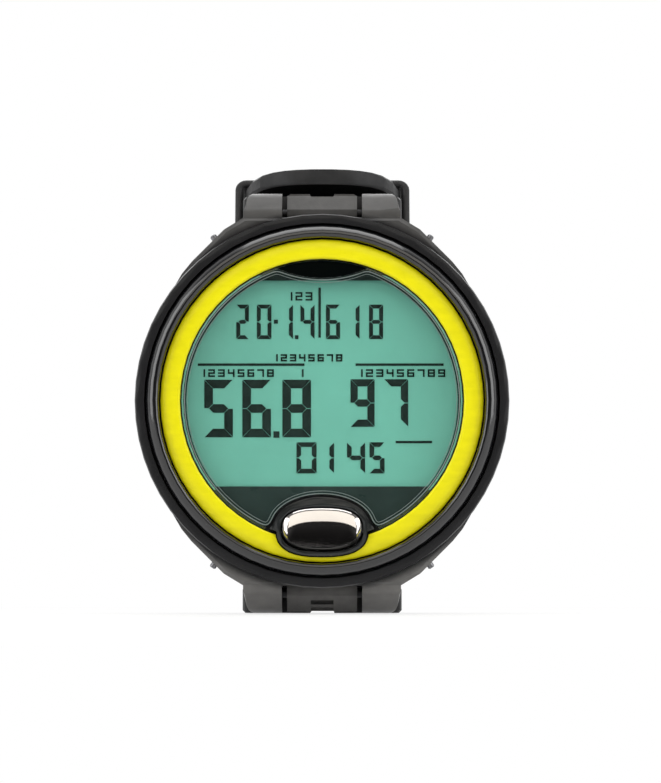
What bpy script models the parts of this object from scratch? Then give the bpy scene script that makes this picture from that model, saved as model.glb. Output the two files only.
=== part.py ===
"""Wrist dive computer on its closed rubber strap, one object per piece.

Sizes are in millimetres. A place is (x, d, z): x to the right as the wearer of the display sees
it, d the depth behind the front of the bezel, and z the height over the centre of the case, with
12 o'clock up. The scene's own axes are X, Y = depth and Z, in metres, and the object stands on
the lower run of the strap.
"""

import math

import bmesh
import bpy
from mathutils import Matrix, Vector

MM = 0.001

# Case
CASE_R = 33.45
FLANK_R = CASE_R - 0.3
CASE_DEPTH = 27.4
RIM_FRONT = 1.2
FLANK_FRONT = 3.2
SHOULDER_SUM = 48.4
SHOULDER_TOP = 33.0
SHOULDER_HALF_W = 14.0
SHOULDER_R = math.hypot(SHOULDER_HALF_W, SHOULDER_TOP)
SHOULDER_END = 43.0
SHOULDER_BLEND = 14.0
ROUND_STEPS = 60
CLEAR = 0.3
SOLDER_GAP = 0.1

# Lugs, strap pins and strap
LUG_REACH = 37.9
LUG_EAR_R = 3.7
LUG_OUTER_X = 14.1
LUG_INNER_X = 7.2
LUG_FRONT = 3.6
LUG_CORNER = ((2.2, 0.0), (1.5, 0.1), (0.95, 0.5), (0.6, 1.2), (0.3, 2.5), (0.0, 4.0))
PIN_D = 11.0
PIN_R = 0.9
PIN_HOLE_R = 1.15
PIN_HALF_L = 13.0
PIN_Z = LUG_REACH - LUG_EAR_R
STRAP_W = 28.9
STRAP_T = 2.8
STRAP_GAP = 0.35
STRAP_EDGE = 0.5
ROOT_EXTRA = 2.2
ROOT_L = 12.0
STRIP_W = 4.1
STRIP_DEPTH = 0.4
STRIP_LOWER_DEPTH = 1.0
STRIP_UPPER_DEPTH = 0.55
STRIP_LOWER_L = 50.0
STRIP_FADE = 10.0
STRIP_END = 8.0
TONGUE_W = 12.6
KNUCKLE_R = LUG_EAR_R - CLEAR
KNUCKLE_FLAT = (100.0, 170.0)
ROOT_CORNER = 1.4
EYE_WINDOW = (-36.35, -35.6)

# The tip of the long strap: its highest point and its angle at the lower strap pin
TIP_TOP = 43.2
TIP_ANGLE = 5.0
TIP_L = 18.0
TIP_POWER = 2.5
BACK_BEND_START = 66.0
UPPER_BEND_R = 40.0
HOLE_R = 1.2
HOLE_COUNT = 11
HOLE_PITCH = 7.5
FIRST_HOLE = 30.0

# Keeper
KEEPER_ANGLE = 18.5
KEEPER_L = 8.0
KEEPER_WALL = 1.4
KEEPER_SIDE_GAP = 0.4
KEEPER_TOP_GAP = 0.9
KEEPER_CORNER = 2.0

# Buckle
BUCKLE_ANGLE = 50.0
BUCKLE_KNUCKLE_R = 2.15
BUCKLE_PIN_R = 0.8
BUCKLE_REACH = 14.5
BUCKLE_LIFT = 2.4
BUCKLE_BAR_W = 3.2
BUCKLE_T = 2.4
BUCKLE_SIDE_GAP = 0.55
BUCKLE_ARM_W = 2.3
PRONG_R = 0.75
PRONG_L = 17.0
PRONG_COLLAR_R = 1.75
PRONG_COLLAR_W = 3.0
PRONG_SLOT_W = 3.8
PRONG_DROP = 2.6

# Rings and lens
BEZEL_OUTER_R = 31.45
BEZEL_INNER_R = 29.1
BEZEL_BACK = 5.1
ACCENT_INNER_R = 25.35
ACCENT_FRONT = 0.9
ACCENT_T = 1.0
LENS_TOP = 1.1
LENS_FLANGE_FRONT = 2.2
LENS_BACK = 4.0
LENS_PLATEAU_R = ACCENT_INNER_R - CLEAR
LENS_FLANGE_R = BEZEL_INNER_R - 0.6
NOTCH_R = 20.0
NOTCH_LOW = 21.9
LEDGE_FRONT = 5.0
GASKET_INNER_R = 25.6
GROOVE_DEPTH = 0.4

# Display stack
CHAMBER_R = 25.2
CHAMBER_LOW = -16.6
BOSS_BACK = 11.0
WINDOW_R = 24.3
WINDOW_TOP = 21.6
WINDOW_LOW = -15.3
MASK_T = 0.3
LCD_R = 24.7
LCD_T = 2.0
GUIDE_T = 1.2
GUIDE_R = 21.8
GUIDE_LOW = -13.4
GUIDE_HIGH = 20.0
CONNECTOR_Z = -15.4
CONNECTOR_T = 0.9
CONNECTOR_HALF_L = 15.0
CARRIER_R = 24.9
CARRIER_BACK = 13.7
BOARD_R = 24.7
BOARD_FRONT = 14.0
BOARD_T = 1.2
SCREW_CIRCLE_R = 23.0
SCREW_ANGLES = (90.0, 215.0)
SCREW_SENSOR_GAP = 5.7
SCREW_HEAD_R = 1.2
SCREW_SHANK_R = 0.55
SCREW_L = 3.6

# Button
BUTTON_Z = -23.0
BUTTON_W = 14.2
BUTTON_H = 7.5
BUTTON_FRONT = -0.6
BUTTON_CAP_T = 1.6
BUTTON_TRAVEL = 0.8
# Loops of the cap: depth, then how far in at the sides, the top and the bottom
BUTTON_FACE = (
    (0.0, 0.9, 2.7, 0.6),
    (0.7, 0.25, 0.35, 0.15),
    (1.0, 0.0, 0.0, 0.0),
    (BUTTON_CAP_T, 0.0, 0.0, 0.0),
)
BUTTON_GAP = 0.3
STEM_Z = -22.0
STEM_R = 1.2
STEM_BACK = 12.7
SEAL_D = 6.9
SEAL_WIRE_R = 0.45
SEAL_GROOVE_R = STEM_R + 2 * SEAL_WIRE_R + 0.35
CLIP_R = 2.6
COLLAR_WALL = 0.7
COLLAR_FRONT = 0.3
COLLAR_T = 1.6
ARCH_TOP = BUTTON_Z + BUTTON_H / 2 + 2.35
ARCH_BASE = BUTTON_Z + 0.6
ARCH_HALF_W = BUTTON_W / 2 + 1.8
ARCH_STEPS = 8
ARCH_FIRST = 15.0
# The flare of the arch's feet, from its half width and its base
ARCH_FEET = ((1.3, -0.4), (0.55, -0.05), (0.05, 0.55))
SURROUND_FRONT = 1.4
SURROUND_BACK = 4.7
OUTER_RIDGE = 0.25
INNER_RIDGE = 0.5
INNER_RIDGE_GROW = 1.3
SPRING_R = 1.65
SPRING_WIRE = 0.15
SPRING_TURNS = 4
SPRING_POCKET_BACK = SURROUND_BACK - 0.8

# Battery and its hatch
BATTERY_R = 12.25
BATTERY_T = 5.0
WELL_R = BATTERY_R + 0.95
HATCH_SEAT_R = WELL_R + 2.8
HATCH_R = HATCH_SEAT_R - 0.4
HATCH_STEP_R = WELL_R + 0.6
HATCH_BACK = CASE_DEPTH + 0.2
HATCH_SEAT_FRONT = CASE_DEPTH - 3.3
BATTERY_FRONT = HATCH_SEAT_FRONT - BATTERY_T - 0.2
WELL_FRONT = BATTERY_FRONT - 0.7
WELL_WALL = 1.2
CHAMBER_BACK = WELL_FRONT - WELL_WALL
BAYONET_FRONT = CASE_DEPTH - 1.9
BAYONET_T = 0.8
BAYONET_REACH = HATCH_SEAT_R + 0.9
BAYONET_CHANNEL_R = BAYONET_REACH + 0.35
BAYONET_LUG_DEG = 24.0
BAYONET_SLOT_DEG = 30.0
HATCH_TURN = 50.0
COIN_SLOT_L = 15.0
COIN_SLOT_W = 1.9
COIN_SLOT_DEPTH = 1.5

# Small pins on the flank and the pressure sensor
SIDE_PIN_ANGLE = 33.4
SIDE_PIN_R = 0.6
SIDE_PIN_OUT = 35.7
SIDE_PIN_IN = 32.4
SIDE_PIN_D = 4.6
SENSOR_ANGLE = 315.0
SENSOR_R = 3.6
SENSOR_RADIUS = WELL_R + SENSOR_R + 1.8
SENSOR_POCKET_BACK = CHAMBER_BACK + 4.6
PORT_RADIUS = SENSOR_RADIUS + 1.4
PORT_HOLE_R = 0.7

# Worked out from the sizes above
LONG_OUT_R = (TIP_TOP + PIN_Z) / math.cos(math.radians(TIP_ANGLE))
LONG_IN_R = LONG_OUT_R - STRAP_T
LONG_MID_R = LONG_OUT_R - STRAP_T / 2
SHORT_OUT_R = LONG_IN_R - STRAP_GAP
SHORT_MID_R = SHORT_OUT_R - STRAP_T / 2
SHORT_IN_R = SHORT_OUT_R - STRAP_T
KEEPER_MID_R = (SHORT_IN_R + LONG_OUT_R) / 2
LEVEL_Z = LUG_REACH - STRAP_T / 2
BUCKLE_PIN_RADIUS = SHORT_OUT_R - BUCKLE_KNUCKLE_R
BEND_TURN = 180.0 - BACK_BEND_START
BEND_START_RAD = math.radians(BACK_BEND_START)
BACK_BEND_R = (LEVEL_Z - PIN_Z + LONG_MID_R * math.cos(BEND_START_RAD)) / (
    1 + math.cos(BEND_START_RAD)
)
BACK_BEND_D = PIN_D + (LONG_MID_R - BACK_BEND_R) * math.sin(BEND_START_RAD)
DEPTH_MAX = BACK_BEND_D + BACK_BEND_R + STRAP_T / 2
DEPTH_MID = (BUTTON_FRONT + DEPTH_MAX) / 2
SENSOR_TURN = math.degrees(
    math.acos(
        (SCREW_CIRCLE_R**2 + SENSOR_RADIUS**2 - SCREW_SENSOR_GAP**2)
        / (2 * SCREW_CIRCLE_R * SENSOR_RADIUS)
    )
)
ALL_SCREW_ANGLES = (*SCREW_ANGLES, SENSOR_ANGLE + SENSOR_TURN)
BACK_INSET = min(FLANK_R, SHOULDER_SUM / math.sqrt(2)) - BAYONET_CHANNEL_R - 0.8

COLOURS = {
    "black": (0.02, 0.02, 0.022),
    "satin": (0.035, 0.035, 0.037),
    "gloss": (0.008, 0.008, 0.008),
    "yellow": (0.8, 0.72, 0.02),
    "clear": (0.55, 0.7, 0.68),
    "teal": (0.13, 0.46, 0.36),
    "rubber": (0.03, 0.03, 0.03),
    "seal": (0.25, 0.04, 0.02),
    "chrome": (0.75, 0.75, 0.78),
    "steel": (0.45, 0.45, 0.47),
    "board": (0.02, 0.16, 0.06),
    "brass": (0.6, 0.42, 0.12),
    "white": (0.7, 0.7, 0.7),
    "chip": (0.03, 0.03, 0.04),
}
METALS = ("chrome", "steel", "brass")


def clear_scene():
    for found in list(bpy.data.objects):
        bpy.data.objects.remove(found)


def new_collection(name, hidden):
    made = bpy.data.collections.new(name)
    bpy.context.scene.collection.children.link(made)
    made.hide_render = hidden
    return made


clear_scene()
PARTS = new_collection("dive_computer", False)
CUTTERS = new_collection("cutters", True)


def place(x, d, z):
    """The scene's point for a place on the object."""
    return Vector((x, d - DEPTH_MID, z + LUG_REACH)) * MM


def material(colour):
    found = bpy.data.materials.get(colour)
    if found:
        return found
    made = bpy.data.materials.new(colour)
    made.use_nodes = True
    shader = made.node_tree.nodes["Principled BSDF"]
    shader.inputs["Base Color"].default_value = (*COLOURS[colour], 1.0)
    shader.inputs["Roughness"].default_value = 0.4
    shader.inputs["Metallic"].default_value = 1.0 if colour in METALS else 0.0
    return made


def to_object(name, shape, origin, collection):
    """An object from a bmesh in millimetres, with its origin at a place on the object."""
    bmesh.ops.remove_doubles(shape, verts=shape.verts, dist=0.0005)
    bmesh.ops.recalc_face_normals(shape, faces=shape.faces)
    centre = Vector(origin)
    bmesh.ops.transform(
        shape, matrix=Matrix.Scale(MM, 4) @ Matrix.Translation(-centre), verts=shape.verts
    )
    mesh = bpy.data.meshes.new(name)
    shape.to_mesh(mesh)
    shape.free()
    made = bpy.data.objects.new(name, mesh)
    made.location = place(*origin)
    collection.objects.link(made)
    return made


def piece(name, shape, colour, origin=(0.0, 0.0, 0.0)):
    made = to_object(name, shape, origin, PARTS)
    made.data.materials.append(material(colour))
    return made


def combine(target, shape, operation):
    """Adds one Boolean to a piece, from a bmesh in millimetres."""
    tool = to_object(f"{target.name}_{operation.lower()}", shape, (0.0, 0.0, 0.0), CUTTERS)
    tool.hide_render = True
    tool.display_type = "WIRE"
    step = target.modifiers.new(operation.title(), "BOOLEAN")
    step.operation = operation
    step.solver = "EXACT"
    step.object = tool
    return target


def cut(target, shape):
    return combine(target, shape, "DIFFERENCE")


def join(target, shape):
    return combine(target, shape, "UNION")


def soften(target, width, segments=2, angle=50.0):
    """Rounds the sharp edges of a piece."""
    step = target.modifiers.new("Edges", "BEVEL")
    step.width = width * MM
    step.segments = segments
    step.limit_method = "ANGLE"
    step.angle_limit = math.radians(angle)
    return target


# Shapes


def skin(loops, closed=False):
    """A solid through loops of points. An open row of loops gets a cap at each end."""
    shape = bmesh.new()
    rows = [[shape.verts.new(point) for point in loop] for loop in loops]
    count = len(rows[0])
    pairs = list(zip(rows, rows[1:]))
    if closed:
        pairs.append((rows[-1], rows[0]))
    for near, far in pairs:
        for i in range(count):
            j = (i + 1) % count
            shape.faces.new((near[i], near[j], far[j], far[i]))
    if not closed:
        shape.faces.new(rows[0][::-1])
        shape.faces.new(rows[-1])
    return shape


def prism(outline, front, back):
    """An (x, z) outline pushed through from one depth to another."""
    return skin([[(x, d, z) for x, z in outline] for d in (front, back)])


def cross_bar(profile, left, right):
    """A (d, z) profile pushed through from one x to another."""
    return skin([[(x, d, z) for d, z in profile] for x in (left, right)])


def turned(profile, steps=64, centre=(0.0, 0.0)):
    """A (radius, depth) profile turned about an axis along the depth.

    A profile whose ends lie on the axis makes a solid with flat ends, any other one a ring.
    """
    solid = profile[0][0] == 0.0
    rows = profile[1:-1] if solid else profile
    loops = [[(x, d, z) for x, z in circle(r, steps, centre)] for r, d in rows]
    return skin(loops, closed=not solid)


def disc(radius, front, back, steps=64, centre=(0.0, 0.0)):
    return prism(circle(radius, steps, centre), front, back)


def o_ring(mid_r, wire_r, depth, steps=48, centre=(0.0, 0.0)):
    profile = [(mid_r + u, depth + v) for u, v in circle(wire_r, 6)]
    return turned(profile, steps, centre)


def rod(radius, half_length, d, z, steps=20):
    """A round rod across the object."""
    return cross_bar([(d + u, z + v) for u, v in circle(radius, steps)], -half_length, half_length)


def box(low, high):
    outline = [(low[0], low[2]), (high[0], low[2]), (high[0], high[2]), (low[0], high[2])]
    return prism(outline, low[1], high[1])


def merged(*shapes):
    """Several separate shapes in one bmesh."""
    whole = shapes[0]
    for extra in shapes[1:]:
        carrier = bpy.data.meshes.new("carrier")
        extra.to_mesh(carrier)
        whole.from_mesh(carrier)
        bpy.data.meshes.remove(carrier)
        extra.free()
    return whole


def moved(shape, matrix):
    bmesh.ops.transform(shape, matrix=matrix, verts=shape.verts)
    return shape


# Outlines


def circle(radius, steps=64, centre=(0.0, 0.0)):
    angles = [2 * math.pi * i / steps for i in range(steps)]
    return [(centre[0] + radius * math.cos(a), centre[1] + radius * math.sin(a)) for a in angles]


def arc(radius, first, last, steps, centre=(0.0, 0.0)):
    """Points along an arc, with its ends, from one angle to another in degrees."""
    points = []
    for i in range(steps + 1):
        angle = math.radians(first + (last - first) * i / steps)
        points.append((centre[0] + radius * math.cos(angle), centre[1] + radius * math.sin(angle)))
    return points


def rounded_box(half_w, low, high, corner, steps=5):
    return [
        *arc(corner, 0, 90, steps, (half_w - corner, high - corner)),
        *arc(corner, 90, 180, steps, (corner - half_w, high - corner)),
        *arc(corner, 180, 270, steps, (corner - half_w, low + corner)),
        *arc(corner, 270, 360, steps, (half_w - corner, low + corner)),
    ]


def oval(width, height, grow=0.0, steps=36, power=2.6):
    """The outline of the button, as a superellipse about the button's centre."""
    points = []
    for i in range(steps):
        angle = 2 * math.pi * i / steps
        across, up = math.cos(angle), math.sin(angle)
        x = math.copysign(abs(across) ** (2 / power), across) * (width / 2 + grow)
        z = math.copysign(abs(up) ** (2 / power), up) * (height / 2 + grow)
        points.append((x, z + BUTTON_Z))
    return points


def flat_cut_circle(radius, low, high, steps=18):
    """A circle cut off flat below and above."""
    first = math.degrees(math.asin(low / radius))
    last = math.degrees(math.asin(high / radius))
    right = arc(radius, first, last, steps)
    return [*right, *[(-x, z) for x, z in right[::-1]]]


def low_cut_circle(radius, low, steps=44):
    """A circle cut off flat below."""
    first = math.degrees(math.asin(low / radius))
    return arc(radius, first, 180 - first, steps)


def arch(shrink, floor_r):
    """The domed field round the button, its flared feet on an arc about the case's centre."""
    aside = shrink * 0.7
    right = [(ARCH_HALF_W + x - aside, ARCH_BASE + z - aside) for x, z in ARCH_FEET]
    half_w = ARCH_HALF_W - shrink
    height = ARCH_TOP - ARCH_BASE - shrink
    for i in range(ARCH_STEPS + 1):
        turn = math.radians(ARCH_FIRST + (90.0 - ARCH_FIRST) * i / ARCH_STEPS)
        right.append((half_w * math.cos(turn), ARCH_BASE + height * math.sin(turn)))
    right = [(x, z) for x, z in right if math.hypot(x, z) < floor_r - 0.05]
    left = [(-x, z) for x, z in right[-2::-1]]
    side = math.degrees(math.atan2(right[0][0], -right[0][1]))
    return [*right, *left, *arc(floor_r, 270 - side, 270 + side, 8)]


def shoulder_reach(bearing):
    """How far the case reaches at an angle from 12 o'clock: a slope that melts into a circle."""
    turn = math.radians(bearing)
    slope = min(SHOULDER_SUM / (math.sin(turn) + math.cos(turn)), SHOULDER_R)
    blend = min(max((bearing - SHOULDER_END) / SHOULDER_BLEND, 0.0), 1.0)
    blend = blend * blend * (3 - 2 * blend)
    return slope * (1 - blend) + FLANK_R * blend


def spread(first, last, count):
    return [first + (last - first) * i / count for i in range(count)]


def case_outline(inset):
    """The case from the front: flat at the lugs, sloping shoulders and round flanks."""
    corner = math.degrees(math.atan2(SHOULDER_HALF_W, SHOULDER_TOP))
    melted = SHOULDER_END + SHOULDER_BLEND
    bearings = [
        *spread(corner, SHOULDER_END, 3),
        *spread(SHOULDER_END, melted, 3),
        *spread(melted, 90.0, 5),
        90.0,
    ]
    quarter = []
    for bearing in bearings:
        turn = math.radians(bearing)
        reach = shoulder_reach(bearing) - inset
        quarter.append((reach * math.sin(turn), reach * math.cos(turn)))
    half = [*quarter, *[(x, -z) for x, z in quarter[-2::-1]]]
    return [*half, *[(-x, z) for x, z in half[::-1]]]


# Strap routes: each station is (d, z, heading), heading in degrees from +d towards +z


def straight(route, length, steps=1):
    d, z, heading = route[-1]
    turn = math.radians(heading)
    for i in range(1, steps + 1):
        along = length * i / steps
        route.append((d + along * math.cos(turn), z + along * math.sin(turn), heading))


def bend(route, radius, angle, steps):
    """An arc to the left for a positive angle, to the right for a negative one."""
    d, z, heading = route[-1]
    side = math.copysign(1.0, angle)
    turn = math.radians(heading)
    centre_d = d - side * radius * math.sin(turn)
    centre_z = z + side * radius * math.cos(turn)
    for i in range(1, steps + 1):
        now = heading + angle * i / steps
        turn = math.radians(now)
        route.append(
            (
                centre_d + side * radius * math.sin(turn),
                centre_z - side * radius * math.cos(turn),
                now,
            )
        )


def lengths_along(route):
    total = [0.0]
    for near, far in zip(route, route[1:]):
        total.append(total[-1] + math.hypot(far[0] - near[0], far[1] - near[1]))
    return total


def band_section(width, extra, depth, outward):
    """The cross-section of the strap as (x, height) points.

    extra thickens it towards the wrist, depth is how far the strip is sunk in its outside.
    """
    half = width / 2
    edge = min(STRAP_EDGE, half / 3)
    strip = min(STRIP_W / 2, half / 3)
    top = STRAP_T / 2
    low = -top - extra
    points = [
        (-half, low + edge),
        (edge - half, low),
        (half - edge, low),
        (half, low + edge),
        (half, top - edge),
        (half - edge, top),
        (strip + 0.15, top),
        (strip, top - depth),
        (-strip, top - depth),
        (-strip - 0.15, top),
        (edge - half, top),
        (-half, top - edge),
    ]
    return [(x, outward * height) for x, height in points]


def band(stations, outward):
    """The strap through (d, z, heading, section) stations. outward is 1 where it faces left."""
    loops = []
    for d, z, heading, section in stations:
        turn = math.radians(heading)
        loop = []
        for x, height in band_section(*section, outward):
            loop.append((x, d - height * math.sin(turn), z + height * math.cos(turn)))
        loops.append(loop)
    return skin(loops)


def strap_width(from_pin, from_tip):
    """Narrow between the lugs, full behind them, and a blunt superellipse at the tip."""
    shoulder = from_pin - (LUG_EAR_R + STRAP_EDGE)
    if shoulder < 0.0:
        return TONGUE_W
    if shoulder < ROOT_CORNER:
        drop = ROOT_CORNER - math.sqrt(ROOT_CORNER**2 - (ROOT_CORNER - shoulder) ** 2)
        return STRAP_W - 2 * drop
    if from_tip < TIP_L:
        return STRAP_W * (1 - (1 - from_tip / TIP_L) ** TIP_POWER) ** (1 / TIP_POWER)
    return STRAP_W


def share_of(value, start, length):
    """How much of a run from start is done, from 0 to 1."""
    return min(max((value - start) / length, 0.0), 1.0)


def root_extra(from_pin):
    """The strap is thicker towards the wrist just behind the lugs."""
    start = LUG_EAR_R + STRAP_EDGE
    if from_pin < start:
        return 0.0
    return ROOT_EXTRA * (1 - share_of(from_pin, start, ROOT_L))


def strip_depth(from_pin, from_tip, lug_depth):
    """The strip starts at one depth at the lugs, goes on at its own and ends before the tip."""
    gone = share_of(from_pin, STRIP_LOWER_L, STRIP_FADE)
    depth = lug_depth * (1 - gone) + STRIP_DEPTH * gone
    return depth * share_of(from_tip, STRIP_END, STRIP_FADE)


def tongue_run(route):
    """The short run from the pin to just behind the lugs, with stations at the shoulder."""
    reach = LUG_EAR_R + STRAP_EDGE
    straight(route, reach - 0.01)
    straight(route, 0.04)
    straight(route, ROOT_CORNER * 0.3)
    straight(route, ROOT_CORNER * 0.7)


def long_route():
    route = [(PIN_D, -LEVEL_Z, 0.0)]
    tongue_run(route)
    straight(route, BACK_BEND_D - route[-1][0], 4)
    bend(route, BACK_BEND_R, BEND_TURN, 18)
    bend(route, LONG_MID_R, BACK_BEND_START - TIP_ANGLE - tip_sweep(), 16)
    for share in (0.3, 0.25, 0.17, 0.12, 0.08, 0.05, 0.026):
        bend(route, LONG_MID_R, tip_sweep() * share, 1)
    return route


def tip_sweep():
    return math.degrees(TIP_L / LONG_MID_R)


def short_route():
    """Level behind the lugs, then bent onto the long strap's inner side."""
    route = [(PIN_D, LEVEL_Z, 0.0)]
    tongue_run(route)
    reach = SHORT_MID_R - UPPER_BEND_R
    rise = LEVEL_Z - UPPER_BEND_R + PIN_Z
    level = math.sqrt(reach**2 - rise**2)
    join_angle = math.degrees(math.atan2(level, rise))
    straight(route, PIN_D + level - route[-1][0], 2)
    bend(route, UPPER_BEND_R, -join_angle, 6)
    bend(route, SHORT_MID_R, join_angle - BUCKLE_ANGLE, 8)
    return route


def with_sections(route, tip_left, lug_depth):
    """Gives each station of a route its (width, extra, strip depth)."""
    along = lengths_along(route)
    whole = along[-1] + tip_left
    stations = []
    for (d, z, heading), run in zip(route, along):
        width = strap_width(run, whole - run)
        depth = strip_depth(run, whole - run, lug_depth)
        stations.append((d, z, heading, (width, root_extra(run), depth)))
    return stations


def on_arc(radius, angle, tilt=0.0):
    """The frame of a point on an arc about the lower strap pin: y along the strap, z outward."""
    turn = math.radians(angle)
    d = PIN_D + radius * math.sin(turn)
    z = -PIN_Z + radius * math.cos(turn)
    spot = Matrix.Translation((0.0, d, z))
    return spot @ Matrix.Rotation(math.radians(tilt) - turn, 4, "X")


def arc_place(radius, angle):
    return tuple(on_arc(radius, angle).translation)


# Case


CORNERS = ((1, 1), (-1, 1), (-1, -1), (1, -1))


def lug_profile(drop):
    """The side view of a lug: an ear round the strap pin, sloping forward to the rim."""
    top = LUG_REACH - drop
    root = PIN_Z - 6.5
    points = [
        *arc(LUG_EAR_R, -20, 90, 7, (PIN_D, PIN_Z)),
        (PIN_D - 1.4, LUG_REACH - 0.08),
        (PIN_D - 2.6, LUG_REACH - 0.45),
        (PIN_D - 3.8, LUG_REACH - 1.05),
        (LUG_FRONT + 0.4, LUG_REACH - 3.2),
        (LUG_FRONT, LUG_REACH - 4.0),
        (LUG_FRONT, root),
        (PIN_D + LUG_EAR_R + 1.2, root),
    ]
    return [(d, min(z, top)) for d, z in points]


def lug(across, up):
    """One lug, its outer side leaning in towards a rounded corner."""
    loops = [[(across * LUG_INNER_X, d, up * z) for d, z in lug_profile(0.0)]]
    for inset, drop in LUG_CORNER:
        x = across * (LUG_OUTER_X - inset)
        loops.append([(x, d, up * z) for d, z in lug_profile(drop)])
    return skin(loops)


def lugs():
    return merged(*[lug(across, up) for across, up in CORNERS])


def lug_recesses():
    """Room for the strap's knuckle between each pair of lugs, and its pin holes."""
    shapes = []
    for side in (1, -1):
        z = side * PIN_Z
        shapes.append(rod(LUG_EAR_R, LUG_INNER_X, PIN_D, z, 24))
    return merged(*shapes)


def pin_holes():
    return merged(
        rod(PIN_HOLE_R, PIN_HALF_L + CLEAR, PIN_D, PIN_Z, 12),
        rod(PIN_HOLE_R, PIN_HALF_L + CLEAR, PIN_D, -PIN_Z, 12),
    )


def case_shell():
    """The outside of the case behind its rim, with its tapered back."""
    sections = (
        (FLANK_FRONT, 0.7),
        (FLANK_FRONT + 0.6, 0.0),
        (7.6, 0.0),
        (8.8, 0.7),
        (15.0, 2.0),
        (19.0, 4.8),
        (23.0, 9.4),
        (CASE_DEPTH - 0.9, BACK_INSET - 1.3),
        (CASE_DEPTH, BACK_INSET),
    )
    return skin([[(x, d, z) for x, z in case_outline(inset)] for d, inset in sections])


def rim():
    """The round satin rim at the front of the case."""
    profile = [
        (0.0, RIM_FRONT),
        (CASE_R - 0.75, RIM_FRONT),
        (CASE_R - 0.2, RIM_FRONT + 0.25),
        (CASE_R, RIM_FRONT + 0.8),
        (CASE_R, FLANK_FRONT + 0.2),
        (CASE_R - 1.2, FLANK_FRONT + 1.4),
        (0.0, FLANK_FRONT + 1.4),
    ]
    return turned(profile, ROUND_STEPS)


def case_body():
    body = piece("case_body", case_shell(), "satin")
    join(body, rim())
    join(body, lugs())
    cut(body, lug_recesses())
    cut(body, pin_holes())
    cut(body, ring_pocket())
    cut(body, prism(low_cut_circle(CHAMBER_R, CHAMBER_LOW), LEDGE_FRONT - 1.0, BOSS_BACK + 0.5))
    cut(body, disc(CHAMBER_R, BOSS_BACK, CHAMBER_BACK, 48))
    cut(body, disc(STEM_R + CLEAR, 3.0, BOSS_BACK + 1.0, 16, (0.0, STEM_Z)))
    cut(body, disc(SEAL_GROOVE_R, SEAL_D - 0.7, SEAL_D + 0.7, 16, (0.0, STEM_Z)))
    cut(body, battery_room())
    cut(body, bayonet_slots())
    cut(body, sensor_room())
    cut(body, sensor_ports())
    cut(body, side_pin_holes())
    return body


def ring_pocket():
    """The seat of the bezel ring, with the groove of the lens gasket."""
    groove_back = LEDGE_FRONT + GROOVE_DEPTH
    groove_r = GASKET_INNER_R - SOLDER_GAP
    profile = [
        (0.0, -2.0),
        (BEZEL_OUTER_R + CLEAR, -2.0),
        (BEZEL_OUTER_R + CLEAR, groove_back),
        (groove_r, groove_back),
        (groove_r, LEDGE_FRONT),
        (0.0, LEDGE_FRONT),
    ]
    return turned(profile, ROUND_STEPS)


def battery_room():
    """The battery well, the seat of its hatch and the bayonet channel."""
    channel_front = BAYONET_FRONT - CLEAR
    channel_back = BAYONET_FRONT + BAYONET_T + CLEAR
    profile = [
        (0.0, WELL_FRONT),
        (WELL_R, WELL_FRONT),
        (WELL_R, HATCH_SEAT_FRONT),
        (HATCH_SEAT_R, HATCH_SEAT_FRONT),
        (HATCH_SEAT_R, channel_front),
        (BAYONET_CHANNEL_R, channel_front),
        (BAYONET_CHANNEL_R, channel_back),
        (HATCH_SEAT_R, channel_back),
        (HATCH_SEAT_R, CASE_DEPTH + 1.0),
        (0.0, CASE_DEPTH + 1.0),
    ]
    return turned(profile, 48)


def sector(inner, outer, middle, width, front, back):
    """A piece of a ring about the case's axis, its width in degrees about its middle."""
    first, last = middle - width / 2, middle + width / 2
    outline = [*arc(outer, first, last, 4), *arc(inner, last, first, 4)]
    return prism(outline, front, back)


def bayonet_slots():
    """The three ways in for the hatch's lugs, a turn of HATCH_TURN from where they lock."""
    shapes = []
    for i in range(3):
        middle = 90 + 120 * i - HATCH_TURN
        shapes.append(
            sector(
                HATCH_SEAT_R - 0.5,
                BAYONET_CHANNEL_R,
                middle,
                BAYONET_SLOT_DEG,
                BAYONET_FRONT + BAYONET_T / 2,
                CASE_DEPTH + 1.0,
            )
        )
    return merged(*shapes)


def polar(radius, angle):
    turn = math.radians(angle)
    return (radius * math.cos(turn), radius * math.sin(turn))


def sensor_room():
    centre = polar(SENSOR_RADIUS, SENSOR_ANGLE)
    return disc(SENSOR_R + CLEAR, CHAMBER_BACK - 1.0, SENSOR_POCKET_BACK, 24, centre)


def sensor_ports():
    """The three small holes that let the water reach the sensor."""
    shapes = []
    for offset in (-6.0, 0.0, 6.0):
        spot = polar(PORT_RADIUS, SENSOR_ANGLE + offset)
        shapes.append(disc(PORT_HOLE_R, SENSOR_POCKET_BACK - 0.4, CASE_DEPTH + 1.0, 10, spot))
    return merged(*shapes)


def side_pin_shape(radius, inner, outer, across, up):
    turn = math.radians(SIDE_PIN_ANGLE)
    outward = Vector((across * math.sin(turn), 0.0, up * math.cos(turn)))
    swing = Vector((0.0, 1.0, 0.0)).rotation_difference(outward).to_matrix().to_4x4()
    return moved(disc(radius, inner, outer, 12), Matrix.Translation((0.0, SIDE_PIN_D, 0.0)) @ swing)


def side_pin_holes():
    radius = SIDE_PIN_R + 0.1
    inner = SIDE_PIN_IN - 0.1
    outer = SIDE_PIN_OUT + 2.0
    return merged(*[side_pin_shape(radius, inner, outer, x, z) for x, z in CORNERS])


def side_pins():
    for number, (across, up) in enumerate(CORNERS, 1):
        shape = side_pin_shape(SIDE_PIN_R, SIDE_PIN_IN, SIDE_PIN_OUT, across, up)
        soften(piece(f"side_pin_{number}", shape, "steel"), 0.2, 1)


# Rings, lens and display


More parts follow.
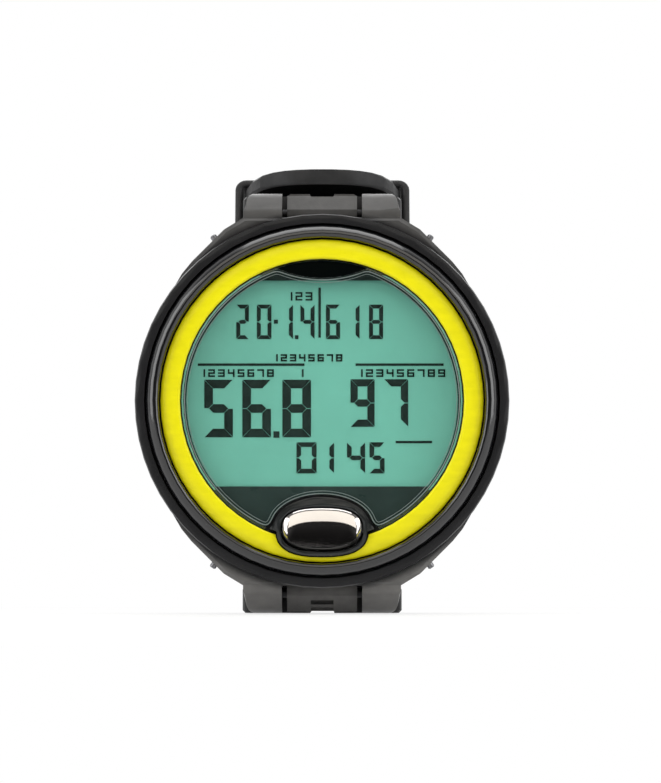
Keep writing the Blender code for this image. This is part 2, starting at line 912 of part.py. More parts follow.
def bezel_ring():
    """A convex ring, steep on its inside and sloping down to the rim on its outside."""
    profile = [
        (BEZEL_INNER_R, BEZEL_BACK),
        (BEZEL_INNER_R, 0.75),
        (BEZEL_INNER_R + 0.2, 0.3),
        (BEZEL_INNER_R + 0.5, 0.06),
        (BEZEL_INNER_R + 0.8, 0.0),
        (BEZEL_OUTER_R - 0.95, 0.28),
        (BEZEL_OUTER_R - 0.45, 0.75),
        (BEZEL_OUTER_R - 0.1, 1.25),
        (BEZEL_OUTER_R, 1.6),
        (BEZEL_OUTER_R, BEZEL_BACK),
    ]
    return piece("bezel_ring", turned(profile, ROUND_STEPS), "gloss")


def accent_ring():
    back = ACCENT_FRONT + ACCENT_T
    outer = BEZEL_INNER_R - CLEAR
    profile = [
        (ACCENT_INNER_R, back),
        (ACCENT_INNER_R, ACCENT_FRONT + 0.3),
        (ACCENT_INNER_R + 0.3, ACCENT_FRONT),
        (ACCENT_INNER_R + 1.9, ACCENT_FRONT + 0.07),
        (outer - 0.3, ACCENT_FRONT + 0.35),
        (outer, ACCENT_FRONT + 0.6),
        (outer, back),
    ]
    made = piece("accent_ring", turned(profile, ROUND_STEPS), "yellow")
    return cut(made, prism(oval(BUTTON_W, BUTTON_H, collar_grow() + 0.25), -1.0, back + 1.0))


def collar_grow():
    return BUTTON_GAP + COLLAR_WALL


def lens():
    """A stepped disc: the flange under the rings and the raised window, with its cut-outs."""
    profile = [
        (0.0, LENS_TOP),
        (LENS_PLATEAU_R - 0.3, LENS_TOP),
        (LENS_PLATEAU_R, LENS_TOP + 0.3),
        (LENS_PLATEAU_R, LENS_FLANGE_FRONT),
        (LENS_FLANGE_R, LENS_FLANGE_FRONT),
        (LENS_FLANGE_R, LENS_BACK),
        (0.0, LENS_BACK),
    ]
    made = piece("lens", turned(profile, ROUND_STEPS), "clear")
    notch = disc(NOTCH_R, LENS_TOP - 1.0, LENS_FLANGE_FRONT, 60, (0.0, NOTCH_LOW + NOTCH_R))
    cut(made, notch)
    cut(made, prism(arch(0.0, LENS_PLATEAU_R + 0.06), LENS_TOP - 1.0, LENS_BACK + 1.0))
    return made


def lens_gasket():
    front = LENS_BACK + 0.1
    back = LEDGE_FRONT + GROOVE_DEPTH - 0.1
    profile = [
        (GASKET_INNER_R, front),
        (LENS_FLANGE_R, front),
        (LENS_FLANGE_R, back),
        (GASKET_INNER_R, back),
    ]
    return piece("lens_gasket", turned(profile, 48), "seal")


def display_mask():
    front = LENS_BACK + CLEAR
    back = front + MASK_T
    made = piece("display_mask", disc(GASKET_INNER_R - CLEAR, front, back, 48), "gloss")
    window = flat_cut_circle(WINDOW_R, WINDOW_LOW, WINDOW_TOP)
    cut(made, prism(window, front - 1.0, back + 1.0))
    cut(made, prism(arch(-CLEAR, GASKET_INNER_R + 1.0), front - 1.0, back + 1.0))
    return made


def lcd_panel():
    front = LEDGE_FRONT
    outline = flat_cut_circle(LCD_R, CHAMBER_LOW + 0.4, WINDOW_TOP + 1.0)
    return piece("lcd_panel", prism(outline, front, front + LCD_T), "teal")


def light_guide():
    front = LEDGE_FRONT + LCD_T + CLEAR
    outline = flat_cut_circle(GUIDE_R, GUIDE_LOW, GUIDE_HIGH)
    return piece("light_guide", prism(outline, front, front + GUIDE_T), "white")


def display_carrier():
    front = LEDGE_FRONT + LCD_T + 0.1
    outline = low_cut_circle(CARRIER_R, CHAMBER_LOW + CLEAR)
    made = piece("display_carrier", prism(outline, front, CARRIER_BACK), "white")
    pocket = flat_cut_circle(GUIDE_R + CLEAR, GUIDE_LOW - CLEAR, GUIDE_HIGH + CLEAR)
    pocket_back = LEDGE_FRONT + LCD_T + GUIDE_T + 2 * CLEAR
    cut(made, prism(pocket, front - 1.0, pocket_back))
    rear = flat_cut_circle(GUIDE_R - 0.8, GUIDE_LOW, GUIDE_HIGH)
    cut(made, prism(rear, pocket_back + 1.2, CARRIER_BACK + 1.0))
    half_l = CONNECTOR_HALF_L + CLEAR
    half_t = CONNECTOR_T / 2 + 0.15
    low = (-half_l, front - 1.0, CONNECTOR_Z - half_t)
    high = (half_l, CARRIER_BACK + 1.0, CONNECTOR_Z + half_t)
    cut(made, box(low, high))
    cut(made, screw_holes(CARRIER_BACK - 3.0, CARRIER_BACK + 1.0))
    cut(made, box((-2.0, front + 0.2, GUIDE_HIGH - 1.0), (2.0, pocket_back, GUIDE_HIGH + 2.6)))
    return made


def backlight_led():
    front = LEDGE_FRONT + LCD_T + CLEAR
    low = (-1.6, front + 0.2, GUIDE_HIGH + 0.5)
    high = (1.6, front + 1.1, GUIDE_HIGH + 2.2)
    return piece("backlight_led", box(low, high), "white")


def lcd_connector():
    front = LEDGE_FRONT + LCD_T + SOLDER_GAP
    low = (-CONNECTOR_HALF_L, front, CONNECTOR_Z - CONNECTOR_T / 2)
    high = (CONNECTOR_HALF_L, BOARD_FRONT - SOLDER_GAP, CONNECTOR_Z + CONNECTOR_T / 2)
    return piece("lcd_connector", box(low, high), "rubber")


def screw_holes(front, back):
    shapes = []
    for angle in ALL_SCREW_ANGLES:
        shapes.append(disc(SCREW_SHANK_R + 0.15, front, back, 12, polar(SCREW_CIRCLE_R, angle)))
    return merged(*shapes)


def circuit_board():
    back = BOARD_FRONT + BOARD_T
    made = piece("circuit_board", disc(BOARD_R, BOARD_FRONT, back, 48), "board")
    return cut(made, screw_holes(BOARD_FRONT - 1.0, back + 1.0))


def board_screws():
    seat = BOARD_FRONT + BOARD_T + SOLDER_GAP
    profile = [
        (0.0, seat - SCREW_L),
        (SCREW_SHANK_R, seat - SCREW_L),
        (SCREW_SHANK_R, seat),
        (SCREW_HEAD_R, seat),
        (SCREW_HEAD_R, seat + 0.5),
        (SCREW_HEAD_R - 0.3, seat + 0.8),
        (0.0, seat + 0.8),
    ]
    for number, angle in enumerate(ALL_SCREW_ANGLES, 1):
        shape = turned(profile, 12, polar(SCREW_CIRCLE_R, angle))
        piece(f"board_screw_{number}", shape, "steel")


def board_parts():
    """What is soldered to the circuit board."""
    back = BOARD_FRONT + BOARD_T + SOLDER_GAP
    soften(piece("processor_chip", box((-5.0, back, 4.0), (5.0, back + 1.2, 14.0)), "chip"), 0.15, 1)
    crystal = box((-13.0, back, -12.0), (-6.0, back + 1.3, -9.0))
    soften(piece("crystal_can", crystal, "steel"), 0.6, 2)
    front = BOARD_FRONT - SOLDER_GAP
    low, high = STEM_Z - 2.2, STEM_Z + 3.0
    piece("tact_switch", box((-2.8, front - 0.35, low), (2.8, front, high)), "steel")


def buzzer_disc():
    back = CHAMBER_BACK - SOLDER_GAP
    spot = (-14.5, 6.0)
    made = piece("buzzer_disc", disc(7.0, back - 0.25, back, 28, spot), "brass")
    return join(made, disc(4.8, back - 0.5, back - 0.2, 24, spot))


def pressure_sensor():
    centre = polar(SENSOR_RADIUS, SENSOR_ANGLE)
    front = BOARD_FRONT + BOARD_T + SOLDER_GAP
    back = SENSOR_POCKET_BACK - CLEAR
    flange = back - 2.1
    profile = [
        (0.0, front),
        (SENSOR_R, front),
        (SENSOR_R, flange),
        (SENSOR_R - 0.9, flange),
        (SENSOR_R - 0.9, back),
        (SENSOR_R - 1.5, back),
        (SENSOR_R - 1.5, back - 0.7),
        (0.0, back - 0.7),
    ]
    piece("pressure_sensor", turned(profile, 20, centre), "steel")
    seal = o_ring(SENSOR_R - 0.25, 0.45, flange + 0.75, 20, centre)
    piece("pressure_sensor_seal", seal, "seal")


# Button


def button_place():
    return (0.0, BUTTON_FRONT, BUTTON_Z)


def button():
    """The oval cap with its sloping upper face, its stem and the groove of its clip."""
    back = BUTTON_FRONT + BUTTON_CAP_T
    loops = []
    for depth, side, top, bottom in BUTTON_FACE:
        outline = oval(BUTTON_W - 2 * side, BUTTON_H - top - bottom)
        shift = (bottom - top) / 2
        loops.append([(x, BUTTON_FRONT + depth, z + shift) for x, z in outline])
    made = piece("button", skin(loops), "chrome", button_place())
    profile = [
        (0.0, back - 0.5),
        (STEM_R, back - 0.5),
        (STEM_R, BOSS_BACK + 0.4),
        (STEM_R - 0.35, BOSS_BACK + 0.4),
        (STEM_R - 0.35, BOSS_BACK + 0.9),
        (STEM_R, BOSS_BACK + 0.9),
        (STEM_R, STEM_BACK),
        (0.0, STEM_BACK),
    ]
    return join(made, turned(profile, 16, (0.0, STEM_Z)))


def button_surround():
    """The arched plate in the lens, with ridges and a collar round the button."""
    floor_r = LENS_PLATEAU_R - CLEAR
    plate = prism(arch(CLEAR, floor_r), SURROUND_FRONT, SURROUND_BACK)
    made = piece("button_surround", plate, "gloss")
    outer = arch(CLEAR + 0.4, floor_r - 0.1)
    join(made, prism(outer, SURROUND_FRONT - OUTER_RIDGE, SURROUND_FRONT + 0.3))
    inner = oval(BUTTON_W, BUTTON_H, INNER_RIDGE_GROW)
    inner = [(x, z) for x, z in inner if math.hypot(x, z) < floor_r - 0.2]
    join(made, prism(inner, SURROUND_FRONT - INNER_RIDGE, SURROUND_FRONT + 0.3))
    collar = prism(oval(BUTTON_W, BUTTON_H, collar_grow()), COLLAR_FRONT, COLLAR_FRONT + COLLAR_T)
    join(made, collar)
    cut(made, prism(oval(BUTTON_W, BUTTON_H, BUTTON_GAP), -2.0, COLLAR_FRONT + COLLAR_T + 0.3))
    cut(made, disc(SPRING_R + 0.45, 1.0, SPRING_POCKET_BACK, 16, (0.0, STEM_Z)))
    cut(made, disc(STEM_R + CLEAR, 1.0, SURROUND_BACK + 1.0, 16, (0.0, STEM_Z)))
    return made


def button_spring():
    """A coil round the stem, at the length that the pressed button leaves it."""
    front = BUTTON_FRONT + BUTTON_CAP_T + BUTTON_TRAVEL + SPRING_WIRE + CLEAR
    back = SPRING_POCKET_BACK - SPRING_WIRE - SOLDER_GAP
    curve = bpy.data.curves.new("button_spring", "CURVE")
    curve.dimensions = "3D"
    curve.bevel_depth = SPRING_WIRE * MM
    curve.bevel_resolution = 0
    curve.use_fill_caps = True
    spline = curve.splines.new("POLY")
    points = SPRING_TURNS * 10 + 1
    spline.points.add(points - 1)
    for i in range(points):
        share = i / (points - 1)
        turn = 2 * math.pi * SPRING_TURNS * share
        d = front + (back - front) * share
        spot = (SPRING_R * math.cos(turn), d, SPRING_R * math.sin(turn))
        spline.points[i].co = (*(Vector(spot) * MM), 1.0)
    made = bpy.data.objects.new("button_spring", curve)
    made.location = place(0.0, 0.0, STEM_Z)
    curve.materials.append(material("steel"))
    PARTS.objects.link(made)
    return made


def button_seal():
    mid_r = STEM_R + SEAL_WIRE_R + 0.15
    return piece("button_seal", o_ring(mid_r, SEAL_WIRE_R, SEAL_D, 16, (0.0, STEM_Z)), "seal")


def button_clip():
    """An open clip in the stem's groove."""
    front = BOSS_BACK + 0.45
    outline = [*arc(CLIP_R, -50, 230, 12), *arc(STEM_R - 0.2, 230, -50, 10)]
    shape = prism([(x, z + STEM_Z) for x, z in outline], front, front + 0.4)
    return piece("button_clip", shape, "steel", button_place())


# Battery


def battery():
    back = BATTERY_FRONT + BATTERY_T
    profile = [
        (0.0, BATTERY_FRONT),
        (BATTERY_R - 1.6, BATTERY_FRONT),
        (BATTERY_R - 1.3, BATTERY_FRONT + 0.35),
        (BATTERY_R - 0.4, BATTERY_FRONT + 0.35),
        (BATTERY_R, BATTERY_FRONT + 0.9),
        (BATTERY_R, back),
        (0.0, back),
    ]
    return piece("battery", turned(profile, 36), "steel")


def battery_contacts():
    minus = [
        (WELL_FRONT + 0.1, -6.0),
        (WELL_FRONT + 0.4, -6.0),
        (BATTERY_FRONT - 0.1, 2.0),
        (WELL_FRONT + 0.4, 5.0),
        (WELL_FRONT + 0.1, 5.0),
        (BATTERY_FRONT - 0.4, 2.0),
    ]
    piece("battery_contact_minus", cross_bar(minus, -1.5, 1.5), "brass")
    low = (BATTERY_R + 0.25, WELL_FRONT + 0.3, -2.0)
    high = (BATTERY_R + 0.6, BATTERY_FRONT + BATTERY_T - 0.6, 2.0)
    piece("battery_contact_plus", box(low, high), "brass")


def battery_hatch():
    """The round cover: a step for its seal, three bayonet lugs and a coin slot."""
    step_back = HATCH_SEAT_FRONT + 1.35
    profile = [
        (0.0, HATCH_SEAT_FRONT + CLEAR),
        (HATCH_STEP_R, HATCH_SEAT_FRONT + CLEAR),
        (HATCH_STEP_R, step_back),
        (HATCH_R, step_back),
        (HATCH_R, HATCH_BACK - 0.4),
        (HATCH_R - 0.4, HATCH_BACK),
        (0.0, HATCH_BACK),
    ]
    made = piece("battery_hatch", turned(profile, 48), "black", (0.0, HATCH_BACK, 0.0))
    lugs_shape = []
    for i in range(3):
        lugs_shape.append(
            sector(
                HATCH_R - 1.0,
                BAYONET_REACH,
                90 + 120 * i,
                BAYONET_LUG_DEG,
                BAYONET_FRONT,
                BAYONET_FRONT + BAYONET_T,
            )
        )
    join(made, merged(*lugs_shape))
    slot = rounded_box(COIN_SLOT_L / 2, -COIN_SLOT_W / 2, COIN_SLOT_W / 2, COIN_SLOT_W / 2 - 0.01)
    cut(made, prism(slot, HATCH_BACK - COIN_SLOT_DEPTH, HATCH_BACK + 1.0))
    return made


def battery_hatch_seal():
    depth = HATCH_SEAT_FRONT + 0.7
    middle = (HATCH_STEP_R + HATCH_SEAT_R) / 2
    return piece("battery_hatch_seal", o_ring(middle, 0.6, depth, 36), "seal")


# Strap


def strap_pins():
    for name, side in (("strap_pin_upper", 1), ("strap_pin_lower", -1)):
        shape = rod(PIN_R, PIN_HALF_L, PIN_D, side * PIN_Z)
        soften(piece(name, shape, "steel"), 0.2, 1)


def strap_lower():
    """The long strap: from the lower lugs round the wrist and up to its rounded tip."""
    stations = with_sections(long_route(), TIP_L * 0.004, STRIP_LOWER_DEPTH)
    spot = (0.0, PIN_D, -PIN_Z)
    made = piece("strap_lower", band(stations, -1), "rubber", spot)
    eye_of_strap(made, -1, STRIP_LOWER_DEPTH)
    half = STRIP_W / 2
    window = box((-half, PIN_D - KNUCKLE_R - 1.0, EYE_WINDOW[0]), (half, PIN_D, EYE_WINDOW[1]))
    cut(made, window)
    cut(made, strap_holes())
    return made


def eye_of_strap(made, side, strip):
    """The eye round the strap's pin, flat on its front slope, with the strip carried over it."""
    first, last = KNUCKLE_FLAT
    outline = arc(KNUCKLE_R, last, first + 360, 20, (PIN_D, PIN_Z))
    outline = [(d, side * z) for d, z in outline]
    join(made, cross_bar(outline, -TONGUE_W / 2, TONGUE_W / 2))
    cut(made, rod(PIN_HOLE_R, TONGUE_W, PIN_D, side * PIN_Z, 12))
    near = side * (LUG_REACH - strip)
    far = side * (LUG_REACH + 1.0)
    front = PIN_D - KNUCKLE_R - 1.0
    low = (-STRIP_W / 2, front, min(near, far))
    high = (STRIP_W / 2, PIN_D + 0.5, max(near, far))
    return cut(made, box(low, high))


def strap_holes():
    shapes = []
    for i in range(HOLE_COUNT):
        along = FIRST_HOLE + HOLE_PITCH * i
        angle = TIP_ANGLE + math.degrees(along / LONG_MID_R)
        if angle > BACK_BEND_START:
            break
        hole = disc(HOLE_R, -STRAP_T, STRAP_T, 12)
        stand_up = Matrix.Rotation(math.radians(90.0), 4, "X")
        shapes.append(moved(hole, on_arc(LONG_MID_R, angle) @ stand_up))
    return merged(*shapes)


def strap_upper():
    """The short strap, with a slot for the prong in the knuckle that holds the buckle's pin."""
    stations = with_sections(short_route(), 10 * TIP_L, STRIP_UPPER_DEPTH)
    made = piece("strap_upper", band(stations, 1), "rubber", (0.0, PIN_D, PIN_Z))
    eye_of_strap(made, 1, STRIP_UPPER_DEPTH)
    _, d, z = arc_place(BUCKLE_PIN_RADIUS, BUCKLE_ANGLE)
    join(made, rod(BUCKLE_KNUCKLE_R, STRAP_W / 2 - STRAP_EDGE, d, z, 20))
    cut(made, rod(BUCKLE_PIN_R + 0.25, STRAP_W, d, z, 12))
    half = PRONG_SLOT_W / 2
    reach = PRONG_COLLAR_R + CLEAR
    slot = box((-half, -reach, -6.0), (half, 8.0, 6.0))
    cut(made, moved(slot, on_arc(BUCKLE_PIN_RADIUS, BUCKLE_ANGLE)))
    return made


def strap_keeper():
    """A loop round both straps, square to them."""
    low = SHORT_IN_R - KEEPER_TOP_GAP - KEEPER_MID_R
    high = LONG_OUT_R + KEEPER_TOP_GAP - KEEPER_MID_R
    half_w = STRAP_W / 2 + KEEPER_SIDE_GAP
    outer = rounded_box(half_w + KEEPER_WALL, low - KEEPER_WALL, high + KEEPER_WALL, KEEPER_CORNER)
    inner = rounded_box(half_w, low, high, KEEPER_CORNER - KEEPER_WALL + 0.2)
    front, back = -KEEPER_L / 2, KEEPER_L / 2
    loops = []
    for outline, depth in ((outer, front), (outer, back), (inner, back), (inner, front)):
        loops.append([(x, depth, z) for x, z in outline])
    shape = moved(skin(loops, closed=True), on_arc(KEEPER_MID_R, KEEPER_ANGLE))
    made = piece("strap_keeper", shape, "rubber", arc_place(KEEPER_MID_R, KEEPER_ANGLE))
    return soften(made, 0.35, 1)


def buckle_tilt():
    """How far the frame leans out from the strap, to pass over the long strap."""
    bar_r = LONG_OUT_R + BUCKLE_LIFT + BUCKLE_T / 2
    rise = math.sqrt(bar_r**2 - BUCKLE_REACH**2) - BUCKLE_PIN_RADIUS
    return math.degrees(math.atan2(rise, BUCKLE_REACH)), math.hypot(rise, BUCKLE_REACH)


def buckle_frame():
    """A flat frame: two arms from the pin and the bar that the strap runs under."""
    tilt, reach = buckle_tilt()
    inner_x = STRAP_W / 2 + BUCKLE_SIDE_GAP
    outer_x = inner_x + BUCKLE_ARM_W
    near = -BUCKLE_KNUCKLE_R - 0.2
    far = reach + BUCKLE_BAR_W / 2
    corner = 3.0
    outline = [
        *arc(corner, 0, 90, 6, (outer_x - corner, far - corner)),
        *arc(corner, 90, 180, 6, (corner - outer_x, far - corner)),
        (-outer_x, near),
        (-inner_x, near),
        *arc(1.5, 180, 90, 4, (1.5 - inner_x, reach - BUCKLE_BAR_W / 2 - 1.5)),
        *arc(1.5, 90, 0, 4, (inner_x - 1.5, reach - BUCKLE_BAR_W / 2 - 1.5)),
        (inner_x, near),
        (outer_x, near),
    ]
    half = BUCKLE_T / 2
    shape = skin([[(x, y, z) for x, y in outline] for z in (-half, half)])
    moved(shape, on_arc(BUCKLE_PIN_RADIUS, BUCKLE_ANGLE, tilt))
    spot = arc_place(BUCKLE_PIN_RADIUS, BUCKLE_ANGLE)
    made = piece("buckle_frame", shape, "steel", spot)
    soften(made, 0.5, 1)
    return cut(made, rod(BUCKLE_PIN_R + 0.2, STRAP_W, spot[1], spot[2], 12))


def buckle_pin():
    _, d, z = arc_place(BUCKLE_PIN_RADIUS, BUCKLE_ANGLE)
    half_l = STRAP_W / 2 + BUCKLE_SIDE_GAP + BUCKLE_ARM_W - 0.2
    return piece("buckle_pin", rod(BUCKLE_PIN_R, half_l, d, z, 16), "steel", (0.0, d, z))


def buckle_prong():
    """The prong, lying under the strap with its collar on the buckle's pin."""
    spot = arc_place(BUCKLE_PIN_RADIUS, BUCKLE_ANGLE)
    frame = on_arc(BUCKLE_PIN_RADIUS, BUCKLE_ANGLE, -PRONG_DROP)
    collar = rod(PRONG_COLLAR_R, PRONG_COLLAR_W / 2, spot[1], spot[2], 16)
    made = piece("buckle_prong", collar, "steel", spot)
    loops = []
    for share, radius in ((0.0, PRONG_R), (0.85, PRONG_R), (0.95, PRONG_R * 0.75), (1.0, 0.3)):
        y = 0.9 + (PRONG_L - 0.9) * share
        loops.append([(u, y, v) for u, v in circle(radius, 12)])
    join(made, moved(skin(loops), frame))
    return cut(made, rod(BUCKLE_PIN_R + 0.15, STRAP_W, spot[1], spot[2], 16))


def build():
    case_body()
    side_pins()
    bezel_ring()
    accent_ring()
    lens()
    lens_gasket()
    display_mask()
    lcd_panel()
    light_guide()
    backlight_led()
    display_carrier()
    lcd_connector()
    circuit_board()
    board_screws()
    board_parts()
    buzzer_disc()
    pressure_sensor()
    button()
    button_surround()
    button_spring()
    button_seal()
    button_clip()
    battery()
    battery_contacts()
    battery_hatch()
    battery_hatch_seal()
    strap_pins()
    strap_lower()
    strap_upper()
    strap_keeper()
    buckle_frame()
    buckle_pin()
    buckle_prong()


build()
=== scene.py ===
import math

import bmesh
import bpy
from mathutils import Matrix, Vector


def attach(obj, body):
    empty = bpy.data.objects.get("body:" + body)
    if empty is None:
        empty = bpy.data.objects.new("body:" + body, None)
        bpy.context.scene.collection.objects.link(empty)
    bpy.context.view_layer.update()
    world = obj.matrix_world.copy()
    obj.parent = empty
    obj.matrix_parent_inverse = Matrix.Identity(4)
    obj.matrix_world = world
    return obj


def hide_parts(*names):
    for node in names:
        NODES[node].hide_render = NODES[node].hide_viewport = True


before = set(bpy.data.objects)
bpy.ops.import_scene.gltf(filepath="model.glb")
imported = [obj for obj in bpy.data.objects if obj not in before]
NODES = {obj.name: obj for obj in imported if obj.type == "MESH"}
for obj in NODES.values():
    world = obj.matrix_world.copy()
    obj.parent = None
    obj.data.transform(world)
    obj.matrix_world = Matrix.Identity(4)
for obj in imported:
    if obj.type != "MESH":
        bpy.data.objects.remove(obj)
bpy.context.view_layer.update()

MM = 0.001

# The camera: a long lens a little below the middle of the display
PICTURE_W, PICTURE_H = 661.0, 783.0
MM_PER_PIXEL = 0.178
MIDDLE = (322.0, 400.0)
CASE_Z = 37.9
BEZEL_Y = -41.77
DISTANCE = 700.0
TILT = math.radians(-3.0)
SENSOR = 36.0

# The front of the case, in millimetres from its middle
LCD_FRONT_Y = -36.77
NOTCH_Y = -39.60
LENS_FRONT_Y = -40.67
PRINT_GAP, PRINT_DEPTH = 0.02, 0.05
CASE_RIM = 33.4
LUGS_FROM = 34.6
ARCH_HALF_W, ARCH_BASE, ARCH_H = 9.1, -22.4, 5.7
ARCH_FOOT = [(9.15, -21.85), (9.5, -22.35), (9.95, -22.5)]
ARCH_FOOT_TURN = math.radians(-64.5)

# Noise is used between these two of its values
NOISE_LOW, NOISE_HIGH = 0.3, 0.7

# Modifiers: vertices merge within the gap; edges are sharp or split beyond an angle
WELD_GAP = 0.01 * MM
SHARP = math.radians(40.0)
SPLIT = math.radians(35.0)

DIRECTION = Vector((0.0, math.cos(TILT), -math.sin(TILT)))
TARGET = Vector(
    (
        (PICTURE_W / 2 - MIDDLE[0]) * MM_PER_PIXEL,
        BEZEL_Y,
        CASE_Z + (MIDDLE[1] - PICTURE_H / 2) * MM_PER_PIXEL,
    )
)
EYE = TARGET - DIRECTION * DISTANCE


def photo_point(px, py, depth):
    """The point at a depth y, in mm, that the camera sees at a pixel of its picture."""
    right = Vector((1.0, 0.0, 0.0))
    up = right.cross(DIRECTION)
    across = (px - PICTURE_W / 2) * MM_PER_PIXEL
    rise = (PICTURE_H / 2 - py) * MM_PER_PIXEL
    ray = DIRECTION * DISTANCE + right * across + up * rise
    return EYE + ray * ((depth - EYE.y) / ray.y)


def make_camera():
    data = bpy.data.cameras.new("camera")
    data.type = "PERSP"
    data.sensor_fit = "AUTO"
    data.sensor_width = SENSOR
    data.lens = SENSOR * DISTANCE / (PICTURE_H * MM_PER_PIXEL)
    data.clip_start = 0.01
    data.clip_end = 20.0
    camera = bpy.data.objects.new("camera", data)
    camera.location = EYE * MM
    camera.rotation_euler = DIRECTION.to_track_quat("-Z", "Y").to_euler()
    bpy.context.scene.collection.objects.link(camera)
    bpy.context.scene.camera = camera


# Materials


def map_range(tree, value, start, end, low=0.0, high=1.0):
    """A number that goes from low to high while another goes from start to end."""
    made = tree.nodes.new("ShaderNodeMapRange")
    limits = {"From Min": start, "From Max": end, "To Min": low, "To Max": high}
    for socket, number in limits.items():
        made.inputs[socket].default_value = number
    tree.links.new(value, made.inputs["Value"])
    return made.outputs["Result"]


def length_of(tree, vector):
    made = tree.nodes.new("ShaderNodeVectorMath")
    made.operation = "LENGTH"
    tree.links.new(vector, made.inputs[0])
    return made.outputs["Value"]


class Surface:
    """A Principled material whose colour, roughness and bump come from noise."""

    def __init__(self, name, **sockets):
        self.material = bpy.data.materials.new(name)
        self.material.use_nodes = True
        self.tree = self.material.node_tree
        self.shader = self.tree.nodes["Principled BSDF"]
        for socket, value in sockets.items():
            self.shader.inputs[socket.replace("_", " ")].default_value = value
        coords = self.tree.nodes.new("ShaderNodeTexCoord")
        self.coords = coords.outputs["Object"]
        self.height = None

    def link(self, start, end):
        self.tree.links.new(start, end)

    def stretched(self, scale):
        """Object coordinates in units of so many millimetres each way."""
        made = self.tree.nodes.new("ShaderNodeMapping")
        made.inputs["Scale"].default_value = [1.0 / (MM * s) for s in scale]
        self.link(self.coords, made.inputs["Vector"])
        return made.outputs["Vector"]

    def noise(self, size, detail=4.0, rough=0.6):
        if not isinstance(size, tuple):
            size = (size, size, size)
        made = self.tree.nodes.new("ShaderNodeTexNoise")
        made.inputs["Scale"].default_value = 1.0
        made.inputs["Detail"].default_value = detail
        made.inputs["Roughness"].default_value = rough
        self.link(self.stretched(size), made.inputs["Vector"])
        return made.outputs["Fac"]

    def cells(self, size):
        made = self.tree.nodes.new("ShaderNodeTexVoronoi")
        made.inputs["Scale"].default_value = 1.0
        self.link(self.stretched((size, size, size)), made.inputs["Vector"])
        return made.outputs["Distance"]

    def waves(self, size, axis, distortion=0.0):
        made = self.tree.nodes.new("ShaderNodeTexWave")
        made.bands_direction = axis
        made.inputs["Scale"].default_value = 1.0
        made.inputs["Distortion"].default_value = distortion
        self.link(self.stretched((size, size, size)), made.inputs["Vector"])
        return made.outputs["Fac"]

    def ramp(self, factor, stops):
        made = self.tree.nodes.new("ShaderNodeValToRGB")
        ends = made.color_ramp.elements
        while len(ends) < len(stops):
            ends.new(0.5)
        for end, (place, colour) in zip(ends, stops):
            end.position = place
            end.color = (*colour, 1.0)
        self.link(factor, made.inputs["Fac"])
        return made.outputs["Color"]

    def tones(self, factor, dark, light):
        """Noise as a colour from dark to light."""
        return self.ramp(factor, ((NOISE_LOW, dark), (NOISE_HIGH, light)))

    def colour(self, factor, dark, light):
        self.link(self.tones(factor, dark, light), self.shader.inputs["Base Color"])

    def mixed(self, first, second, share):
        """One colour turning to another, both of them outputs."""
        made = self.tree.nodes.new("ShaderNodeMix")
        made.data_type = "RGBA"
        wanted = {"Factor": share, "A": first, "B": second}
        for socket in made.inputs:
            if socket.enabled and socket.name in wanted:
                self.link(wanted[socket.name], socket)
        return next(socket for socket in made.outputs if socket.enabled)

    def blend(self, first, second, share):
        self.link(self.mixed(first, second, share), self.shader.inputs["Base Color"])

    def place(self, axis, start, end):
        """A share from 0 to 1 along an axis, between two places in millimetres."""
        split = self.tree.nodes.new("ShaderNodeSeparateXYZ")
        self.link(self.coords, split.inputs["Vector"])
        return map_range(self.tree, split.outputs[axis], start * MM, end * MM)

    def painted_light(self, factor):
        """Painted light: a pale grey tone for lit plastic and rubber, paler still towards the
        foot of the object.
        """
        high = self.tones(factor, (0.054, 0.053, 0.052), (0.074, 0.072, 0.070))
        low = self.tones(factor, (0.115, 0.113, 0.110), (0.150, 0.147, 0.143))
        # Painted light from below: the tone turns paler towards the foot.
        return self.mixed(high, low, self.place("Z", 28.0, 8.0))

    def gloss(self, factor, low, high):
        rough = map_range(self.tree, factor, NOISE_LOW, NOISE_HIGH, low, high)
        self.link(rough, self.shader.inputs["Roughness"])

    def bump(self, factor, height_mm, strength=1.0):
        made = self.tree.nodes.new("ShaderNodeBump")
        made.inputs["Distance"].default_value = height_mm * MM
        made.inputs["Strength"].default_value = strength
        self.link(factor, made.inputs["Height"])
        if self.height is not None:
            self.link(self.height, made.inputs["Normal"])
        self.height = made.outputs["Normal"]
        self.link(self.height, self.shader.inputs["Normal"])

    def stipple(self):
        """The fine grain and slow waves of moulded rubber."""
        self.bump(self.cells(0.3), 0.012, 0.7)
        self.bump(self.noise(3.0, 3.0), 0.05, 0.5)


def tint(colour, share):
    return tuple(c * share for c in colour)


def moulded(name, colour, rough, grain=0.25, height=0.006, coat=0.0, shine=0.5):
    """Moulded plastic: fine grain, slow changes of tone and sheen."""
    made = Surface(name, IOR=1.5, Specular_IOR_Level=shine)
    made.shader.inputs["Coat Weight"].default_value = coat
    made.shader.inputs["Coat Roughness"].default_value = 0.08
    made.colour(made.noise(9.0), tint(colour, 0.85), tint(colour, 1.15))
    made.gloss(made.noise(4.0, 5.0), rough * 0.85, rough * 1.15)
    made.bump(made.noise(grain, 2.0), height)
    return made.material


